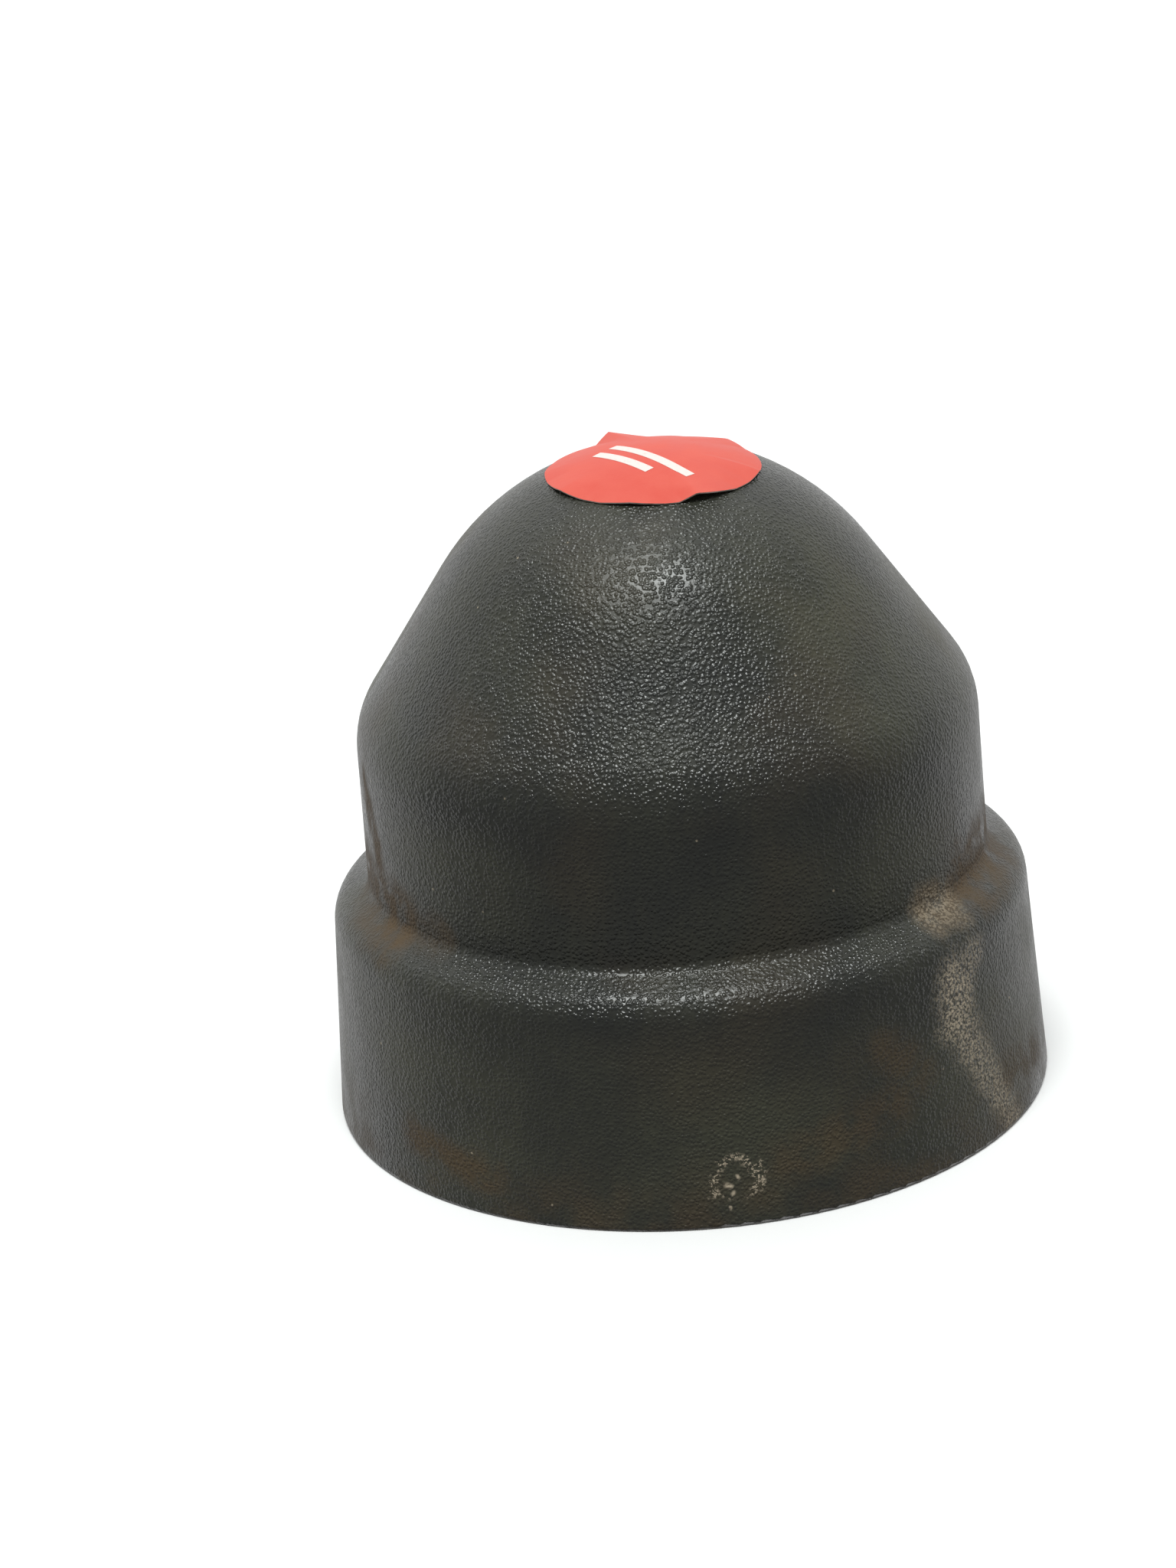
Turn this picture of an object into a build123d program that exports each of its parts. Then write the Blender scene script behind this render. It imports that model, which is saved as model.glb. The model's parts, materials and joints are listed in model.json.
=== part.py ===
"""Push-on end cap for a round pipe: one domed plastic moulding with a round paper label on its crown.

Millimetres. The origin is the centre of the rim's plane, +Z runs up the axis to the crown, and the
open mouth faces -Z. The section of the shell is straight walls joined by tangent rounds, and its
inside follows its outside one wall thickness in, except in the socket, which is straight for the pipe.
"""
from build123d import *
import math
import os

# --- what the cap fits: a 2-inch nominal (DN50) pipe, 60.3 mm outside ---
PIPE_DIAMETER = 60.3
PUSH_CLEARANCE = 0.15
SOCKET_RADIUS = PIPE_DIAMETER / 2 + PUSH_CLEARANCE
LEAD_IN = 0.8

# --- the outside: its four straight walls, each by one point (r, z) and its slope from the axis ---
RIM_RADIUS = 34.0
TOTAL_HEIGHT = 61.9
SKIRT_DRAFT = 3.8
SHOULDER_HEIGHT = 20.9
CREASE_RADIUS = 29.2
CREASE_HEIGHT = 22.8
NECK_DRAFT = 1.25
FLANK_HEIGHT = 38.5
FLANK_SLOPE = 34.7

# --- the rounds between those walls, as they are on the outside ---
SHOULDER_ROUND = 3.0
CREASE_ROUND = 1.1
FLANK_ROUND = 9.0
RIM_ROUND = 0.4

# --- the inside ---
WALL = 2.4
SOCKET_STOP_ROUND = 0.8
GATE_RADIUS = 1.6
GATE_STUB = 0.5

# --- the label: a paper disc, glued in its middle, its edge left free, with two printed rules ---
LABEL_DIAMETER = 20.0
GLUE_DIAMETER = 17.0
GLUE_THICKNESS = 0.05
PAPER_THICKNESS = 0.12
INK_THICKNESS = 0.03
LABEL_TILT = 3.3
LABEL_TILT_DIRECTION = -68.0
PRINT_DIRECTION = -51.0
PRINT_START = -3.8
PRINT_MIDDLE = -2.4
RULE_LENGTHS = (10.4, 7.2)
RULE_WIDTH = 1.0
RULE_PITCH = 2.0

# The dome is the sphere that touches the flank and reaches the full height on the axis.
NECK_TOP_RADIUS = CREASE_RADIUS - (FLANK_HEIGHT - CREASE_HEIGHT) * math.tan(math.radians(NECK_DRAFT))
FLANK_COS = math.cos(math.radians(FLANK_SLOPE))
FLANK_SIN = math.sin(math.radians(FLANK_SLOPE))
DOME_RADIUS = (NECK_TOP_RADIUS * FLANK_COS - (TOTAL_HEIGHT - FLANK_HEIGHT) * FLANK_SIN) / (1 - FLANK_SIN)
DOME_CENTRE = TOTAL_HEIGHT - DOME_RADIUS

SECTION = Plane.XZ


def crossing(first, second, inset):
    """Corner (r, z) of two walls, each given as (r, z, lean in degrees), both moved in by inset."""
    (r1, z1, lean1), (r2, z2, lean2) = [
        (r - inset * math.cos(math.radians(lean)), z - inset * math.sin(math.radians(lean)), math.radians(lean))
        for r, z, lean in (first, second)
    ]
    along = ((r2 - r1) * math.cos(lean2) + (z2 - z1) * math.sin(lean2)) / math.sin(lean2 - lean1)
    return r1 - along * math.sin(lean1), z1 + along * math.cos(lean1)


def wall_outline(inset, foot, foot_wall, shoulder_round):
    """Curve from the foot of the skirt up over the shoulder, neck and flank to the crown."""
    skirt_top = (RIM_RADIUS - SHOULDER_HEIGHT * math.tan(math.radians(SKIRT_DRAFT)), SHOULDER_HEIGHT)
    shoulder_lean = math.degrees(
        math.atan2(skirt_top[0] - CREASE_RADIUS, CREASE_HEIGHT - SHOULDER_HEIGHT)
    )
    shoulder = (CREASE_RADIUS, CREASE_HEIGHT, shoulder_lean)
    neck = (CREASE_RADIUS, CREASE_HEIGHT, NECK_DRAFT)
    flank = (NECK_TOP_RADIUS, FLANK_HEIGHT, FLANK_SLOPE)
    dome_radius = DOME_RADIUS - inset
    dome_foot = (dome_radius * FLANK_COS, DOME_CENTRE + dome_radius * FLANK_SIN)
    walls = FilletPolyline(
        foot,
        crossing(foot_wall, shoulder, inset),
        crossing(shoulder, neck, inset),
        crossing(neck, flank, inset),
        dome_foot,
        radius=[shoulder_round, CREASE_ROUND + inset, FLANK_ROUND - inset],
    )
    dome = CenterArc((0, DOME_CENTRE), dome_radius, FLANK_SLOPE, 90 - FLANK_SLOPE)
    return walls, dome


def turned(*curves):
    """Solid of revolution about +Z of the closed outline that the curves make."""
    return revolve(SECTION * make_face([edge for curve in curves for edge in curve.edges()]), Axis.Z, 360)


def cap_shell():
    """The moulding: outer form, less its cavity, with the gate's stub left inside the crown."""
    outer_walls, outer_dome = wall_outline(
        0, (RIM_RADIUS, 0), (RIM_RADIUS, 0, SKIRT_DRAFT), SHOULDER_ROUND
    )
    outside = turned(
        outer_walls,
        outer_dome,
        Line((0, TOTAL_HEIGHT), (0, 0)),
        Line((0, 0), (RIM_RADIUS, 0)),
    )
    # The socket is taken as if it stood one wall further out, so that the inset lands it on its radius.
    inner_walls, inner_dome = wall_outline(
        WALL, (SOCKET_RADIUS, 0), (SOCKET_RADIUS + WALL, 0, 0), SOCKET_STOP_ROUND
    )
    cavity = turned(
        inner_walls,
        inner_dome,
        Line((0, TOTAL_HEIGHT - WALL), (0, 0)),
        Line((0, 0), (SOCKET_RADIUS, 0)),
    )
    shell = outside - cavity
    rim_edges = shell.edges().filter_by(GeomType.CIRCLE).group_by(Axis.Z)[0].sort_by(SortBy.RADIUS)
    shell = chamfer(rim_edges[0], LEAD_IN)
    rim_edges = shell.edges().filter_by(GeomType.CIRCLE).group_by(Axis.Z)[0].sort_by(SortBy.RADIUS)
    shell = fillet(rim_edges[-1], RIM_ROUND)
    ceiling = TOTAL_HEIGHT - WALL
    gate = Pos(0, 0, ceiling - GATE_STUB) * Cylinder(
        GATE_RADIUS, GATE_STUB + WALL / 2, align=(Align.CENTER, Align.CENTER, Align.MIN)
    )
    return shell + gate


def dome_skin(below, thickness, diameter):
    """Thin disc that lies on the dome, its diameter measured over the curve, about the dome's centre."""
    inner, outer = DOME_RADIUS + below, DOME_RADIUS + below + thickness
    half_angle = math.degrees(diameter / 2 / DOME_RADIUS)
    start = 90 - half_angle
    edge_direction = Vector(math.cos(math.radians(start)), math.sin(math.radians(start)))
    return turned(
        CenterArc((0, 0), inner, start, half_angle),
        CenterArc((0, 0), outer, start, half_angle),
        Line(edge_direction * inner, edge_direction * outer),
        Line((0, inner), (0, outer)),
    )


def on_label(solid):
    """Move a solid from the dome's centre to the label's place and tilt on the crown."""
    return Pos(0, 0, DOME_CENTRE) * Rot(Z=LABEL_TILT_DIRECTION) * Rot(Y=LABEL_TILT) * solid


def printed_rules():
    """Two plain ink rules on the paper, one longer than the other, side by side."""
    ink = dome_skin(GLUE_THICKNESS + PAPER_THICKNESS, INK_THICKNESS, LABEL_DIAMETER)
    turn = Rot(Z=PRINT_DIRECTION - LABEL_TILT_DIRECTION)
    rules = []
    for row, length in enumerate(RULE_LENGTHS):
        across = PRINT_MIDDLE + (0.5 - row) * RULE_PITCH
        along = PRINT_START + length / 2
        stamp = Pos(along, across, DOME_RADIUS) * Box(length, RULE_WIDTH, DOME_RADIUS)
        rules.append(ink & (turn * stamp))
    return Compound([solid for rule in rules for solid in rule.solids()])


def main():
    """Write one STEP file for each piece."""
    os.makedirs("parts", exist_ok=True)
    pieces = {
        "cap_shell": cap_shell(),
        "label_adhesive": on_label(dome_skin(0, GLUE_THICKNESS, GLUE_DIAMETER)),
        "label_paper": on_label(dome_skin(GLUE_THICKNESS, PAPER_THICKNESS, LABEL_DIAMETER)),
        "label_print": on_label(printed_rules()),
    }
    for name, piece in pieces.items():
        export_step(piece, f"parts/{name}.step")


main()
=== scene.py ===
"""Looks for a push-on pipe cap: grained charcoal plastic, dried water marks and a creased round label.

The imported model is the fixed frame. The moulded shell and the glue keep their own shapes and are only
dressed. The label's paper and its two printed rules are modelled again here, because the real paper is
creased over the crown and its edge lifts. Everything is in metres, in the model's own frame.
"""
import json
import logging
import math
from dataclasses import dataclass
from enum import Enum
from typing import Any, Mapping, Sequence, Union

import bpy
from mathutils import Euler, Matrix, Vector, noise

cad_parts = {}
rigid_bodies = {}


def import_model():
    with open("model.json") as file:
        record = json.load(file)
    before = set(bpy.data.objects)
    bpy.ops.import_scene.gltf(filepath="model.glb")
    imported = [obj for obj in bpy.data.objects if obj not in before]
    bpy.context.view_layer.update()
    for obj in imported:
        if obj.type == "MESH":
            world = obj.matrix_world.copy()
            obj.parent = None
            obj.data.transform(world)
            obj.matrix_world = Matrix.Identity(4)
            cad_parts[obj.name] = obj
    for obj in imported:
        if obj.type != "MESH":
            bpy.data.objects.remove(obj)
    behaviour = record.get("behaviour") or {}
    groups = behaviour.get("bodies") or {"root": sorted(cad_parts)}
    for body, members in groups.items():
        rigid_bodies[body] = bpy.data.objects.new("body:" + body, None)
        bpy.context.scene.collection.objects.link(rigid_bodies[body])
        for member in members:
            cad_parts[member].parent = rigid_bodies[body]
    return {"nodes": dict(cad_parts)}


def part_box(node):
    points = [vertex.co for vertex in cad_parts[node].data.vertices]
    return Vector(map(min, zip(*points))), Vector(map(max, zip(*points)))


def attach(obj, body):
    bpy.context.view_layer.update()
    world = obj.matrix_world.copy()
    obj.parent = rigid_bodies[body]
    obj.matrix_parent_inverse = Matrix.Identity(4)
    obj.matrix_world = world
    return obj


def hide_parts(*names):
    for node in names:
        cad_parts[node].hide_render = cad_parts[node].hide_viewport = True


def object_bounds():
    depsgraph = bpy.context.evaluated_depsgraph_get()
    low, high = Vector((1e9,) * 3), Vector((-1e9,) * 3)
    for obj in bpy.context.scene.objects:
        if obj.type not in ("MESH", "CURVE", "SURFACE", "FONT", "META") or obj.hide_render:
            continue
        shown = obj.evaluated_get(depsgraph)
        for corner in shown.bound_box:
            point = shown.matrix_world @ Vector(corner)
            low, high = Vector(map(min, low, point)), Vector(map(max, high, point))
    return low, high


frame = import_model()
CAD_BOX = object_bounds()
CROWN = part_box("cap_shell")[1].z

LOG = logging.getLogger("pipe_cap")
MM = 0.001
SMOOTH_ANGLE = math.radians(40)
Colour = tuple[float, float, float]
Number = Union[float, "Wire"]


# ---------------------------------------------------------------- shader tools

class Wire:
    """One socket of a shader. Arithmetic on it adds Math nodes."""

    def __init__(self, shader: "Shader", socket: bpy.types.NodeSocket) -> None:
        """Wrap a socket.

        Args:
            shader: The shader that the socket belongs to.
            socket: The output socket.
        """
        self.shader = shader
        self.socket = socket

    def math(self, operation: str, *others: Number) -> "Wire":
        """Add a Math node that starts with this wire.

        Args:
            operation: The Math node's operation.
            others: Its other values, in order.

        Returns:
            The result.
        """
        values = dict(enumerate((self, *others)))
        return self.shader.add("ShaderNodeMath", {"operation": operation}, values)

    def __add__(self, other: Number) -> "Wire":
        """Sum."""
        return self.math("ADD", other)

    __radd__ = __add__

    def __sub__(self, other: Number) -> "Wire":
        """Difference."""
        return self.math("SUBTRACT", other)

    def __rsub__(self, other: float) -> "Wire":
        """Difference from a number."""
        return self.shader.add("ShaderNodeMath", {"operation": "SUBTRACT"}, {0: other, 1: self})

    def __mul__(self, other: Number) -> "Wire":
        """Product."""
        return self.math("MULTIPLY", other)

    __rmul__ = __mul__

    def __truediv__(self, other: Number) -> "Wire":
        """Quotient."""
        return self.math("DIVIDE", other)

    def __abs__(self) -> "Wire":
        """Size without its sign."""
        return self.math("ABSOLUTE")

    def smallest(self, other: Number) -> "Wire":
        """The lower of two values."""
        return self.math("MINIMUM", other)

    def largest(self, other: Number) -> "Wire":
        """The higher of two values."""
        return self.math("MAXIMUM", other)

    def ramp(self, low: float, high: float) -> "Wire":
        """Rise smoothly from 0 to 1 between two values, or fall where low is above high.

        Args:
            low: The value that gives 0.
            high: The value that gives 1.

        Returns:
            A value from 0 to 1.
        """
        settings = {"interpolation_type": "SMOOTHSTEP", "clamp": True}
        if low > high:
            return 1.0 - self.ramp(high, low)
        return self.shader.add(
            "ShaderNodeMapRange", settings, {"Value": self, "From Min": low, "From Max": high}
        )


class Shader:
    """A material's node tree with one Principled shader, and the few ways that nodes are added to it."""

    def __init__(self, name: str) -> None:
        """Make a new material.

        Args:
            name: The material's name.
        """
        self.material = bpy.data.materials.new(name)
        self.material.use_nodes = True
        self.tree = self.material.node_tree
        self.tree.nodes.clear()
        self.surface = self.tree.nodes.new("ShaderNodeBsdfPrincipled")
        output = self.tree.nodes.new("ShaderNodeOutputMaterial")
        self.tree.links.new(self.surface.outputs["BSDF"], output.inputs["Surface"])
        self.place = self.add("ShaderNodeTexCoord", output="Object")

    def add(
        self,
        kind: str,
        settings: Mapping[str, Any] | None = None,
        values: Mapping[str | int, Any] | None = None,
        output: str | int = 0,
    ) -> Wire:
        """Add one node.

        Args:
            kind: The node's type.
            settings: Its own settings, which are set first.
            values: A number, colour or wire for each socket that isn't left as it is.
            output: Which output to return.

        Returns:
            That output.
        """
        node = self.tree.nodes.new(kind)
        for key, setting in (settings or {}).items():
            setattr(node, key, setting)
        for key, value in (values or {}).items():
            self.plug(node.inputs[key], value)
        return Wire(self, node.outputs[output])

    def plug(self, socket: bpy.types.NodeSocket, value: Any) -> None:
        """Link or set one input.

        Args:
            socket: The input.
            value: A wire, a number, a vector or a colour of three numbers.
        """
        if isinstance(value, Wire):
            self.tree.links.new(value.socket, socket)
        elif socket.type == "RGBA" and len(value) == 3:
            socket.default_value = (*value, 1.0)
        else:
            socket.default_value = value

    def finish(self, **inputs: Any) -> bpy.types.Material:
        """Set the Principled shader's inputs.

        Args:
            inputs: Values or wires, named as the sockets are, in lower case with underscores.

        Returns:
            The material.
        """
        sockets = {socket.name.lower().replace(" ", "_"): socket for socket in self.surface.inputs}
        for key, value in inputs.items():
            self.plug(sockets[key], value)
        return self.material

    def mix(self, amount: Number, first: Any, second: Any) -> Wire:
        """Blend two colours.

        Args:
            amount: 0 for the first, 1 for the second.
            first: A colour.
            second: A colour.

        Returns:
            The blended colour.
        """
        return self.add("ShaderNodeMix", {"data_type": "RGBA"}, {0: amount, 6: first, 7: second}, output=2)

    def moved(self, stretch: Sequence[float] = (1, 1, 1), shift: Sequence[float] = (0, 0, 0)) -> Wire:
        """The object's coordinates, stretched and shifted.

        Args:
            stretch: A factor for each axis.
            shift: A distance for each axis.

        Returns:
            The new coordinates.
        """
        return self.add("ShaderNodeMapping", {}, {"Vector": self.place, "Location": shift, "Scale": stretch})

    def noise(self, size: float, detail: float = 2.0, place: Wire | None = None, rough: float = 0.5) -> Wire:
        """Cloudy noise.

        Args:
            size: The width of one cloud, in metres.
            detail: How many finer layers it has.
            place: Its coordinates, or none for the object's own.
            rough: How strong the finer layers are.

        Returns:
            A value of about 0.5, from 0 to 1.
        """
        values = {"Vector": place or self.place, "Scale": 1 / size, "Detail": detail, "Roughness": rough}
        return self.add("ShaderNodeTexNoise", {}, values)

    def warped(self, size: float, reach: float) -> Wire:
        """The object's coordinates, pushed about by noise.

        Args:
            size: The width of one push, in metres.
            reach: How far it pushes, in metres.

        Returns:
            The new coordinates.
        """
        values = {"Vector": self.place, "Scale": 1 / size, "Detail": 2.0}
        push = self.add("ShaderNodeTexNoise", {}, values, output="Color")
        centred = self.add("ShaderNodeVectorMath", {"operation": "SUBTRACT"}, {0: push, 1: (0.5, 0.5, 0.5)})
        scaled = self.add("ShaderNodeVectorMath", {"operation": "SCALE"}, {0: centred, "Scale": 2 * reach})
        return self.add("ShaderNodeVectorMath", {"operation": "ADD"}, {0: self.place, 1: scaled})

    def bump(self, height: Wire) -> Wire:
        """Surface relief.

        Args:
            height: The relief, in metres.

        Returns:
            The bent normal.
        """
        values = {"Height": height, "Distance": 1.0, "Strength": 1.0}
        return self.add("ShaderNodeBump", {}, values, output="Normal")


# ---------------------------------------------------------------- finishes

@dataclass(frozen=True)
class Mark:
    """One stain on the shell, as a blot or as a run from one place to another.

    Bearings are in degrees round the axis from +X, heights are up from the rim, in millimetres.
    """

    bearing: float
    height: float
    width: float
    end_bearing: float | None = None
    end_height: float | None = None
    strength: float = 1.0


@dataclass(frozen=True)
class GrainedPlastic:
    """Charcoal moulded plastic with a pebble grain, dulled by handling, dust and dried water."""

    body: Colour = (0.0185, 0.0200, 0.0182)
    dust: Colour = (0.155, 0.155, 0.082)
    scale: Colour = (0.62, 0.52, 0.38)
    mud: Colour = (0.092, 0.056, 0.022)
    grain_pitch: float = 0.34 * MM
    grain_depth: float = 0.068 * MM
    wall_radius: float = 33.0 * MM
    skirt_middle: float = 31.5 * MM
    neck_middle: float = 28.0 * MM
    shoulder_low: float = 19.0 * MM
    shoulder_high: float = 21.0 * MM
    ring: Mark = Mark(-86.2, 4.3, 2.1)
    scale_marks: tuple[Mark, ...] = (
        Mark(-39.5, 18.6, 2.2, -44.0, 17.0, 0.6),
        Mark(-45.0, 16.8, 3.9, -45.5, 13.5, 1.0),
        Mark(-45.5, 13.5, 3.3, -42.5, 10.0, 0.85),
        Mark(-42.5, 10.0, 2.8, -39.0, 6.5, 0.75),
        Mark(-39.0, 6.5, 2.6, -33.0, 0.8, 0.7),
        Mark(-44.5, 23.2, 2.9, -38.5, 23.0, 0.46),
        Mark(95.0, 18.0, 2.0, 98.0, 13.0, 0.30),
        Mark(98.0, 13.0, 2.6, 104.0, 7.5, 0.22),
    )
    dust_marks: tuple[Mark, ...] = (
        Mark(-165.0, 40.0, 20.0, -132.0, 54.0, 0.18),
        Mark(-128.0, 57.0, 9.0, -60.0, 57.5, 0.20),
        Mark(-52.0, 50.0, 15.0, -10.0, 42.0, 0.75),
        Mark(-172.0, 12.0, 16.0, -140.0, 12.0, 0.6),
        Mark(-140.0, 8.0, 13.0, -50.0, 8.0, 0.55),
        Mark(-150.0, 29.0, 9.0, -128.0, 29.0, 0.45),
        Mark(-62.0, 29.0, 8.0, -40.0, 29.0, 0.5),
        Mark(-40.0, 8.0, 12.0, -5.0, 12.0, 0.85),
        Mark(30.0, 46.0, 20.0, 90.0, 50.0, 0.8),
        Mark(120.0, 40.0, 20.0, 170.0, 44.0, 0.9),
    )
    spots: tuple[Mark, ...] = (
        Mark(-87.2, 3.4, 0.42),
        Mark(-87.6, 4.2, 0.36),
        Mark(-86.1, 4.7, 0.32),
        Mark(-88.0, 1.9, 0.34),
    )
    mud_marks: tuple[Mark, ...] = (
        Mark(-31.0, 23.9, 4.8, -9.0, 24.8, 1.0),
        Mark(-44.0, 23.0, 3.2, -31.0, 23.2, 0.8),
        Mark(-167.0, 34.5, 2.6, -160.0, 28.0, 0.95),
        Mark(-172.0, 25.5, 4.6, -150.0, 23.6, 1.0),
        Mark(-150.0, 23.6, 2.6, -138.0, 24.0, 0.5),
        Mark(-141.0, 5.6, 2.8, -125.0, 3.6, 0.75),
        Mark(-78.0, 5.5, 3.6, -60.0, 8.0, 0.5),
        Mark(-61.0, 13.5, 3.0, -54.0, 10.0, 0.5),
        Mark(-34.0, 5.5, 3.2, -20.0, 4.0, 0.6),
        Mark(38.0, 23.4, 2.6, 58.0, 23.2, 0.8),
        Mark(120.0, 3.0, 2.4, 150.0, 2.2, 0.7),
    )

    def around(self, shader: Shader) -> tuple[Wire, Wire, Wire]:
        """Places on the unrolled wall.

        Args:
            shader: The shader that uses them.

        Returns:
            The distance round the wall from +X, the height, and the distance from the axis.
        """
        warped = shader.warped(2.4 * MM, 0.9 * MM)
        x, y, z = (shader.add("ShaderNodeSeparateXYZ", {}, {0: warped}, output=axis) for axis in range(3))
        return y.math("ARCTAN2", x) * self.wall_radius, z, (x * x + y * y).math("SQRT")

    def blot(self, around: Wire, height: Wire, mark: Mark) -> Wire:
        """How much of one mark lies at each place.

        Args:
            around: The distance round the wall.
            height: The height.
            mark: The mark.

        Returns:
            A value that is highest along the mark's middle and 0 outside it.
        """
        x0, z0 = math.radians(mark.bearing) * self.wall_radius, mark.height * MM
        if mark.end_bearing is None:
            run, rise = 0.0, 0.0
            off_x, off_z = around - x0, height - z0
        else:
            run = math.radians(mark.end_bearing) * self.wall_radius - x0
            rise = mark.end_height * MM - z0
            share = ((around - x0) * run + (height - z0) * rise) / (run * run + rise * rise)
            share = share.smallest(1.0).largest(0.0)
            off_x, off_z = around - x0 - share * run, height - z0 - share * rise
        distance = (off_x * off_x + off_z * off_z).math("SQRT")
        return distance.ramp(mark.width * MM, mark.width * 0.15 * MM) * mark.strength

    def all_blots(self, around: Wire, height: Wire, marks: Sequence[Mark]) -> Wire:
        """The strongest of several marks at each place.

        Args:
            around: The distance round the wall.
            height: The height.
            marks: The marks.

        Returns:
            A value from 0 to 1.
        """
        total = self.blot(around, height, marks[0])
        for mark in marks[1:]:
            total = total.largest(self.blot(around, height, mark))
        return total

    def outside(self, height: Wire, from_axis: Wire) -> Wire:
        """Where the outer face of the skirt and neck is, so that stains don't show inside the cap.

        Args:
            height: The height.
            from_axis: The distance from the axis.

        Returns:
            1 on the outer face below the flank and 0 on the inner one.
        """
        in_skirt = height.ramp(self.shoulder_high, self.shoulder_low)
        past_wall = from_axis - in_skirt * (self.skirt_middle - self.neck_middle) - self.neck_middle
        return past_wall.ramp(-0.2 * MM, 0.2 * MM)

    def grain(self, shader: Shader) -> Wire:
        """The pebble grain's relief.

        Args:
            shader: The shader that uses it.

        Returns:
            A value from 0 in the valleys to 1 on the pebbles.
        """
        place = shader.warped(0.55 * MM, 0.16 * MM)
        values = {"Vector": place, "Scale": 1 / self.grain_pitch, "Smoothness": 0.15, "Randomness": 0.9}
        cell = shader.add("ShaderNodeTexVoronoi", {"feature": "SMOOTH_F1"}, values)
        return cell.ramp(0.72, 0.12)

    def ring_of_scale(self, shader: Shader, around: Wire, height: Wire) -> Wire:
        """The broken ring that a drop has left near the rim.

        Args:
            shader: The shader that uses it.
            around: The distance round the wall.
            height: The height.

        Returns:
            A value from 0 to 1.
        """
        ring_x = around - math.radians(self.ring.bearing) * self.wall_radius
        ring_z = height - self.ring.height * MM
        from_middle = (ring_x * ring_x + ring_z * ring_z).math("SQRT")
        line = abs(from_middle - self.ring.width * MM).ramp(0.75 * MM, 0.2 * MM)
        above_gap = ring_z.ramp(-1.9 * MM, -1.0 * MM)
        return line * above_gap * shader.noise(1.3 * MM, 1.0).ramp(0.40, 0.50)

    def crust(self, shader: Shader, around: Wire, height: Wire, outside: Wire) -> Wire:
        """Pale dried water marks, broken up by the grain.

        Args:
            shader: The shader that uses it.
            around: The distance round the wall.
            height: The height.
            outside: 1 on the outer face.

        Returns:
            A value from 0 to 1.
        """
        speckle = shader.noise(0.28 * MM, 2.0, rough=0.6)
        film = self.all_blots(around, height, self.scale_marks) * outside
        film = film * (speckle.ramp(0.44, 0.58) * 0.62 + 0.07)
        ring = self.ring_of_scale(shader, around, height) * speckle.ramp(0.50, 0.58)
        specks = ring.largest(self.all_blots(around, height, self.spots))
        return film.largest(specks * outside * 0.7)

    def mud_cover(self, shader: Shader, around: Wire, height: Wire, outside: Wire) -> Wire:
        """Brown stains in the crease, dirt at the rim and a faint tint all over.

        Args:
            shader: The shader that uses it.
            around: The distance round the wall.
            height: The height.
            outside: 1 on the outer face.

        Returns:
            A value from 0 to 1.
        """
        stains = self.all_blots(around, height, self.mud_marks) * outside
        stains = stains * shader.noise(2.2 * MM, 3.0).ramp(0.2, 0.6)
        low_dirt = height.ramp(9.0 * MM, 0.0) * shader.noise(5 * MM, 3.0).ramp(0.4, 0.7) * 0.45
        apart = shader.moved(shift=(0.11, 0.07, 0.03))
        broad_tint = shader.noise(14 * MM, 2.0, apart).ramp(0.5, 0.72) * 0.15
        return stains.largest(low_dirt).largest(broad_tint)

    def flecks(self, shader: Shader) -> Wire:
        """A few tiny pale flecks.

        Args:
            shader: The shader that uses them.

        Returns:
            A value from 0 to 1.
        """
        values = {"Vector": shader.place, "Scale": 1 / (4.2 * MM), "Randomness": 1.0}
        return shader.add("ShaderNodeTexVoronoi", {"feature": "F1"}, values).ramp(0.036, 0.02)

    def material(self) -> bpy.types.Material:
        """Build the finish.

        Returns:
            The material.
        """
        shader = Shader("charcoal_grained_plastic")
        around, height, from_axis = self.around(shader)
        outside = self.outside(height, from_axis)
        grain = self.grain(shader)
        crust = self.crust(shader, around, height, outside)
        mud = self.mud_cover(shader, around, height, outside)

        clouds = shader.noise(9 * MM, 3.0)
        haze = clouds.ramp(0.32, 0.72)
        wipes = shader.noise(0.55 * MM, 2.0, shader.moved((1.0, 1.0, 0.18))).ramp(0.42, 0.7)
        valleys = 1.0 - grain
        dusty_places = self.all_blots(around, height, self.dust_marks) * (haze * 0.5 + 0.5)
        dust = haze * 0.06 + wipes * 0.03 + valleys * 0.02 + dusty_places * 0.27

        colour = shader.mix(dust, self.body, self.dust)
        colour = shader.mix(mud * 0.9, colour, self.mud)
        colour = shader.mix(crust, colour, self.scale)
        colour = shader.mix(self.flecks(shader) * 0.4, colour, self.scale)

        worn = shader.noise(5 * MM, 3.0).ramp(0.4, 0.7)
        roughness = 0.20 + dust * 0.8 + worn * 0.04 + mud * 0.45 + crust * 0.35
        fine = shader.noise(0.12 * MM, 1.0)
        relief = grain * self.grain_depth + fine * (0.004 * MM) + crust * (0.02 * MM)
        relief = relief + clouds * (0.05 * MM)
        return shader.finish(
            base_color=colour,
            roughness=roughness.smallest(1.0),
            normal=shader.bump(relief),
            specular_ior_level=0.5,
            sheen_weight=0.03,
            sheen_roughness=0.5,
        )


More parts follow.
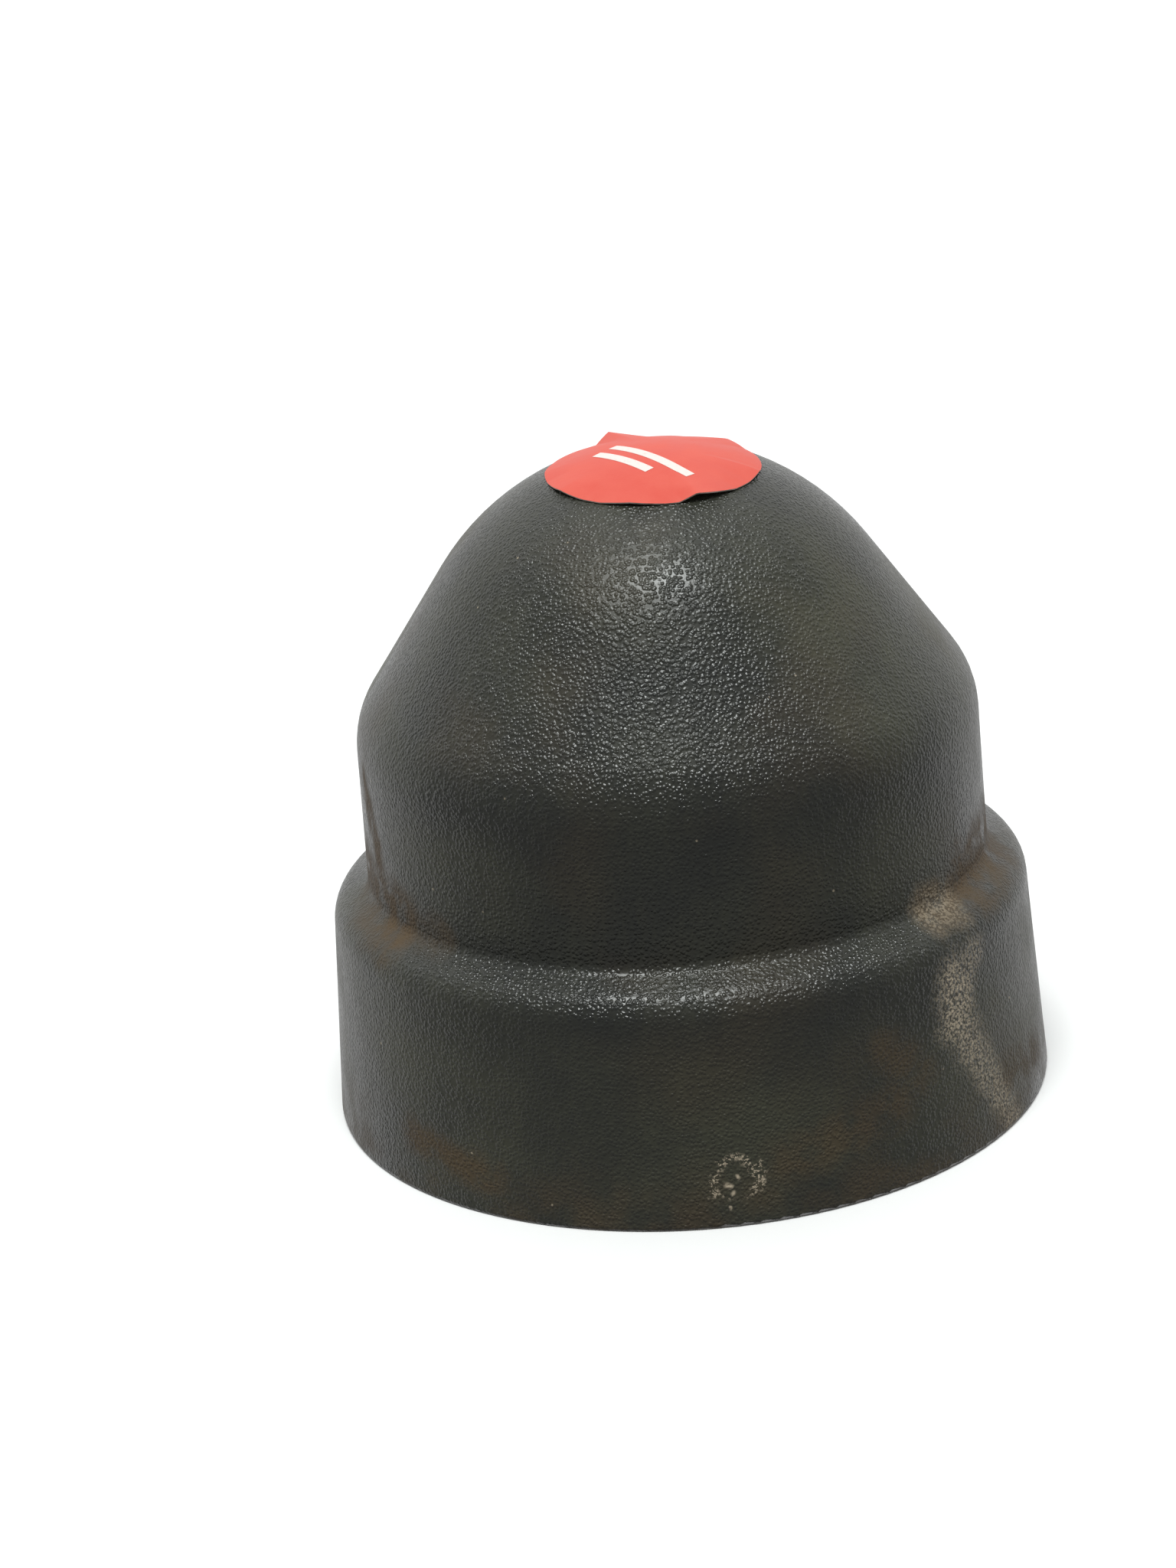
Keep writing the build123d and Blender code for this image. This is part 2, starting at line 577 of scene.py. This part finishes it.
@dataclass(frozen=True)
class CoatedPaper:
    """Coated label paper, printed all over in one colour and lightly creased."""

    print_colour: Colour = (0.690, 0.078, 0.048)
    worn_colour: Colour = (0.760, 0.150, 0.105)

    def material(self) -> bpy.types.Material:
        """Build the finish.

        Returns:
            The material.
        """
        shader = Shader("red_coated_paper")
        rub = shader.noise(2.6 * MM, 4.0).ramp(0.35, 0.8)
        fibres = shader.noise(0.18 * MM, 3.0)
        crinkle = shader.noise(1.3 * MM, 2.0)
        colour = shader.mix(rub * 0.4 + fibres.ramp(0.5, 0.8) * 0.12, self.print_colour, self.worn_colour)
        relief = fibres * (0.006 * MM) + crinkle * (0.03 * MM)
        return shader.finish(
            base_color=colour,
            roughness=0.42 + rub * 0.14,
            normal=shader.bump(relief),
            specular_ior_level=0.5,
        )


@dataclass(frozen=True)
class BarePaper:
    """The paper's uncoated core, seen at its cut edge and underneath."""

    clean: Colour = (0.70, 0.62, 0.56)
    soiled: Colour = (0.42, 0.33, 0.28)

    def material(self) -> bpy.types.Material:
        """Build the finish.

        Returns:
            The material.
        """
        shader = Shader("bare_paper_core")
        soil = shader.noise(0.9 * MM, 3.0)
        colour = shader.mix(soil.ramp(0.4, 0.7), self.clean, self.soiled)
        return shader.finish(base_color=colour, roughness=0.8, normal=shader.bump(soil * (0.01 * MM)))


@dataclass(frozen=True)
class PrintedWhite:
    """White ink that lies thinly over the red, so a little of it shows through."""

    full: Colour = (0.86, 0.74, 0.70)
    thin: Colour = (0.84, 0.52, 0.46)

    def material(self) -> bpy.types.Material:
        """Build the finish.

        Returns:
            The material.
        """
        shader = Shader("white_label_ink")
        wear = shader.noise(0.5 * MM, 4.0, rough=0.6)
        colour = shader.mix(wear.ramp(0.5, 0.8) * 0.6, self.full, self.thin)
        relief = shader.noise(0.18 * MM, 3.0) * (0.005 * MM)
        return shader.finish(base_color=colour, roughness=0.45 + wear * 0.1, normal=shader.bump(relief))


@dataclass(frozen=True)
class ClearGlue:
    """Pressure-sensitive glue, with dust caught where it isn't covered."""

    film: Colour = (0.10, 0.085, 0.06)
    dusty: Colour = (0.24, 0.20, 0.15)

    def material(self) -> bpy.types.Material:
        """Build the finish.

        Returns:
            The material.
        """
        shader = Shader("label_glue_film")
        lint = shader.noise(0.6 * MM, 3.0)
        colour = shader.mix(lint.ramp(0.45, 0.75), self.film, self.dusty)
        return shader.finish(
            base_color=colour, roughness=0.2 + lint * 0.4, normal=shader.bump(lint * (0.02 * MM))
        )


# ---------------------------------------------------------------- modelling tools

class Select(Enum):
    """What an edit-mode operator is to act on."""

    ALL = "SELECT"
    NONE = "DESELECT"


def start_piece(name: str) -> bpy.types.Object:
    """Name the primitive that was just added, and its mesh.

    Args:
        name: The piece's name.

    Returns:
        The new object.
    """
    piece = bpy.context.active_object
    piece.name = name
    piece.data.name = name
    return piece


def clear_selection() -> None:
    """Leave edit mode and deselect every object."""
    if bpy.context.active_object and bpy.context.active_object.mode != "OBJECT":
        bpy.ops.object.mode_set(mode="OBJECT")
    bpy.ops.object.select_all(action=Select.NONE.value)


def choose(piece: bpy.types.Object) -> None:
    """Make a piece the only selected and active object.

    Args:
        piece: The piece.
    """
    clear_selection()
    piece.select_set(True)
    bpy.context.view_layer.objects.active = piece


def apply_modifier(piece: bpy.types.Object, kind: str, **settings: Any) -> None:
    """Add a modifier and apply it.

    Args:
        piece: The piece.
        kind: The modifier's type.
        settings: The modifier's settings.
    """
    choose(piece)
    modifier = piece.modifiers.new(kind.lower(), kind)
    for key, value in settings.items():
        setattr(modifier, key, value)
    bpy.ops.object.modifier_apply(modifier=modifier.name)


# ---------------------------------------------------------------- the cap's own parts

@dataclass
class CapShell:
    """The moulded shell. Its shape is the model's own, so it is only dressed."""

    node: str = "cap_shell"
    finish: GrainedPlastic = GrainedPlastic()

    def dress(self) -> None:
        """Give the shell its grained finish."""
        shell = frame["nodes"][self.node]
        shell.data.materials.clear()
        shell.data.materials.append(self.finish.material())
        LOG.info("dressed %s", self.node)


@dataclass(frozen=True)
class Lift:
    """One place where the label's edge stands off the dome.

    The bearing is in degrees round the label, the lift is in millimetres at the edge, and the two spreads are
    how many degrees it takes to lie down again on the clockwise and the anticlockwise side. The start is how
    far out the lift begins, as a share of the label's radius.
    """

    bearing: float
    lift: float
    clockwise: float
    anticlockwise: float
    start: float


@dataclass
class CrownLabel:
    """The round label: a glue film, a paper disc creased over the dome, and two printed rules."""

    radius: float = 10.0 * MM
    glue: float = 0.05 * MM
    paper: float = 0.12 * MM
    ink: float = 0.025 * MM
    dome_radius: float = 24.156 * MM
    tilt: float = 3.3
    tilt_bearing: float = -68.0
    segments: int = 240
    rings: int = 36
    curl: float = 1.5
    crinkle: float = 0.05 * MM
    crinkle_size: float = 3.1 * MM
    ink_gap: float = 0.004 * MM
    print_bearing: float = -51.0
    print_start: float = -3.8 * MM
    print_middle: float = -2.4 * MM
    rule_lengths: tuple[float, ...] = (10.4 * MM, 7.2 * MM)
    rule_width: float = 1.0 * MM
    rule_pitch: float = 2.0 * MM
    lifts: tuple[Lift, ...] = (
        Lift(111.0, 1.02, 20.0, 9.0, 0.35),
        Lift(44.0, 0.42, 16.0, 24.0, 0.5),
        Lift(-17.0, 0.34, 14.0, 4.0, 0.4),
        Lift(-70.0, 0.75, 9.0, 26.0, 0.5),
        Lift(-105.0, 0.26, 16.0, 18.0, 0.7),
        Lift(-150.0, 0.32, 20.0, 18.0, 0.6),
        Lift(175.0, 0.16, 18.0, 14.0, 0.6),
        Lift(75.0, 0.12, 14.0, 12.0, 0.6),
    )

    def rise(self, reach: float, bearing: float) -> float:
        """How far the paper stands off its glued place.

        Args:
            reach: The distance from the label's middle, over the curve.
            bearing: The direction from the middle, in degrees.

        Returns:
            The height, in metres.
        """
        out = reach / self.radius
        height = 0.0
        for lift in self.lifts:
            turn = (bearing - lift.bearing + 180.0) % 360.0 - 180.0
            spread = lift.anticlockwise if turn > 0 else lift.clockwise
            across = max(0.0, 1.0 - abs(turn) / spread)
            along = max(0.0, (out - lift.start) / (1.0 - lift.start))
            height = max(height, lift.lift * MM * across * along ** self.curl)
        return height

    def surface(self, x: float, y: float, above: float = 0.0) -> Vector:
        """Lay a point of the flat label on the dome.

        Args:
            x: Its place on the flat label, across.
            y: Its place on the flat label, up.
            above: How far over the paper's underside it is.

        Returns:
            The point.
        """
        reach, bearing = math.hypot(x, y), math.atan2(y, x)
        polar = reach / self.dome_radius
        direction = Vector(
            (math.sin(polar) * math.cos(bearing), math.sin(polar) * math.sin(bearing), math.cos(polar))
        )
        turn = math.radians(self.tilt_bearing)
        lean = Matrix.Rotation(turn, 3, "Z") @ Matrix.Rotation(math.radians(self.tilt), 3, "Y")
        direction = lean @ Matrix.Rotation(-turn, 3, "Z") @ direction
        wave = noise.noise(Vector((x, y, 0.0)) / self.crinkle_size)
        crinkle = abs(wave * self.crinkle * (reach / self.radius) ** 2)
        height = self.dome_radius + self.glue + self.rise(reach, math.degrees(bearing)) + crinkle + above
        return Vector((0.0, 0.0, CROWN - self.dome_radius)) + direction * height

    def lay(self, piece: bpy.types.Object, above: float) -> None:
        """Lay a flat piece on the dome.

        Args:
            piece: The piece, modelled flat about the label's middle.
            above: How far over the paper's underside it lies.
        """
        for vertex in piece.data.vertices:
            vertex.co = self.surface(vertex.co.x, vertex.co.y, above)

    def build_paper(self) -> bpy.types.Object:
        """Model the paper disc.

        Returns:
            The paper.
        """
        clear_selection()
        bpy.ops.mesh.primitive_circle_add(vertices=self.segments, radius=self.radius, fill_type="NGON")
        paper = start_piece("label_paper_creased")
        bpy.ops.object.mode_set(mode="EDIT")
        bpy.ops.mesh.select_all(action=Select.ALL.value)
        for _ in range(self.rings - 1):
            bpy.ops.mesh.inset(thickness=self.radius / self.rings)
        bpy.ops.mesh.poke()
        bpy.ops.object.mode_set(mode="OBJECT")
        self.lay(paper, 0.0)
        paper.data.materials.append(CoatedPaper().material())
        paper.data.materials.append(BarePaper().material())
        apply_modifier(
            paper, "SOLIDIFY", thickness=self.paper, offset=1.0, material_offset=1, material_offset_rim=1
        )
        bpy.ops.object.shade_smooth_by_angle(angle=SMOOTH_ANGLE)
        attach(paper, "root")
        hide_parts("label_paper")
        return paper

    def build_rule(self, row: int) -> bpy.types.Object:
        """Model one printed rule.

        Args:
            row: Which rule, from the top.

        Returns:
            The rule.
        """
        clear_selection()
        bpy.ops.mesh.primitive_grid_add(x_subdivisions=96, y_subdivisions=10, size=1.0)
        rule = start_piece(f"label_rule_{row + 1}")
        length = self.rule_lengths[row]
        across = self.print_middle + (0.5 - row) * self.rule_pitch
        bpy.ops.object.mode_set(mode="EDIT")
        bpy.ops.transform.resize(value=(length, self.rule_width, 1.0))
        bpy.ops.transform.translate(value=(self.print_start + length / 2, across, 0.0))
        bpy.ops.object.mode_set(mode="OBJECT")
        rule.data.transform(Matrix.Rotation(math.radians(self.print_bearing), 4, "Z"))
        self.lay(rule, self.paper + self.ink_gap)
        rule.data.materials.append(PrintedWhite().material())
        apply_modifier(rule, "SOLIDIFY", thickness=self.ink, offset=1.0)
        bpy.ops.object.shade_smooth_by_angle(angle=SMOOTH_ANGLE)
        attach(rule, "root")
        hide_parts("label_print")
        return rule

    def build(self) -> None:
        """Model the label's paper and print, and dress its glue."""
        pieces = [self.build_paper()] + [self.build_rule(row) for row in range(len(self.rule_lengths))]
        glue = frame["nodes"]["label_adhesive"]
        glue.data.materials.clear()
        glue.data.materials.append(ClearGlue().material())
        for piece in pieces:
            LOG.info("built %s with %d faces", piece.name, len(piece.data.polygons))


# ---------------------------------------------------------------- the studio

class Surroundings(Shader):
    """The world round the model: dim on the near side, paler behind and overhead."""

    def __init__(self, name: str) -> None:
        """Make a new world.

        Args:
            name: The world's name.
        """
        self.world = bpy.data.worlds.new(name)
        self.world.use_nodes = True
        self.tree = self.world.node_tree
        self.background = self.tree.nodes["Background"]
        self.place = self.add("ShaderNodeTexCoord", output="Generated")

    def shine(self, near: float, behind: float, above: float) -> bpy.types.World:
        """Set how bright it is on each side.

        Args:
            near: The light from the near side.
            behind: The light from behind.
            above: What is added overhead.

        Returns:
            The world.
        """
        depth = self.add("ShaderNodeSeparateXYZ", {}, {0: self.place}, output=1)
        rise = self.add("ShaderNodeSeparateXYZ", {}, {0: self.place}, output=2)
        light = near + depth.ramp(-0.15, 0.65) * (behind - near) + rise.ramp(0.3, 0.9) * above
        self.plug(self.background.inputs["Color"], (1.0, 1.0, 1.0))
        self.plug(self.background.inputs["Strength"], light)
        return self.world


@dataclass
class Studio:
    """A pale floor, a broad soft light from above, dimmer surroundings, and the camera."""

    floor_size: float = 12.0
    floor_colour: Colour = (0.92, 0.92, 0.92)
    key_from: tuple[tuple[float, float, float], ...] = ((-0.17, -0.29, 0.94), (0.09, -0.30, 0.95))
    key_strength: float = 1.3
    key_spread: float = 17.0
    key_tint: Colour = (0.965, 1.0, 0.985)
    near_light: float = 0.27
    back_light: float = 0.84
    top_light: float = 0.15
    eye: tuple[float, float, float] = (-7.8 * MM, -302.6 * MM, 139.3 * MM)
    pitch_down: float = 19.86
    roll: float = -4.85
    lens: float = 78.8
    sensor: float = 36.0

    def lay_floor(self) -> None:
        """Add the floor at the rim's height. It throws no light back up at the model."""
        clear_selection()
        low, _ = CAD_BOX
        bpy.ops.mesh.primitive_plane_add(size=self.floor_size, location=(0.0, 0.0, low[2]))
        floor = start_piece("floor")
        shader = Shader("pale_floor")
        floor.data.materials.append(shader.finish(base_color=self.floor_colour, roughness=0.9))
        floor.visible_diffuse = False
        floor.visible_glossy = False

    def light(self) -> None:
        """Add the two key lights, side by side, and the surroundings."""
        for number, source in enumerate(self.key_from, start=1):
            key = bpy.data.lights.new(f"key_{number}", "SUN")
            key.energy = self.key_strength
            key.angle = math.radians(self.key_spread)
            key.color = self.key_tint
            lamp = bpy.data.objects.new(f"key_{number}", key)
            lamp.rotation_euler = Vector(source).to_track_quat("Z", "Y").to_euler()
            bpy.context.scene.collection.objects.link(lamp)
        world = Surroundings("studio").shine(self.near_light, self.back_light, self.top_light)
        bpy.context.scene.world = world

    def aim_camera(self) -> None:
        """Add the camera, pitched down and rolled."""
        camera = bpy.data.cameras.new("camera")
        camera.lens = self.lens
        camera.sensor_width = self.sensor
        holder = bpy.data.objects.new("camera", camera)
        tilt = Euler((math.radians(90.0 - self.pitch_down), 0.0, 0.0)).to_matrix().to_4x4()
        roll = Matrix.Rotation(math.radians(self.roll), 4, "Z")
        holder.matrix_world = Matrix.Translation(self.eye) @ tilt @ roll
        bpy.context.scene.collection.objects.link(holder)
        bpy.context.scene.camera = holder

    def build(self) -> None:
        """Set up the floor, the lights and the camera."""
        self.aim_camera()
        self.lay_floor()
        self.light()
        bpy.context.scene.view_settings.view_transform = "Standard"


def main() -> None:
    """Build the scene, one sub-assembly after another."""
    logging.basicConfig(level=logging.INFO, format="%(message)s")
    Studio().build()
    CapShell().dress()
    CrownLabel().build()


if __name__ == "__main__":
    main()
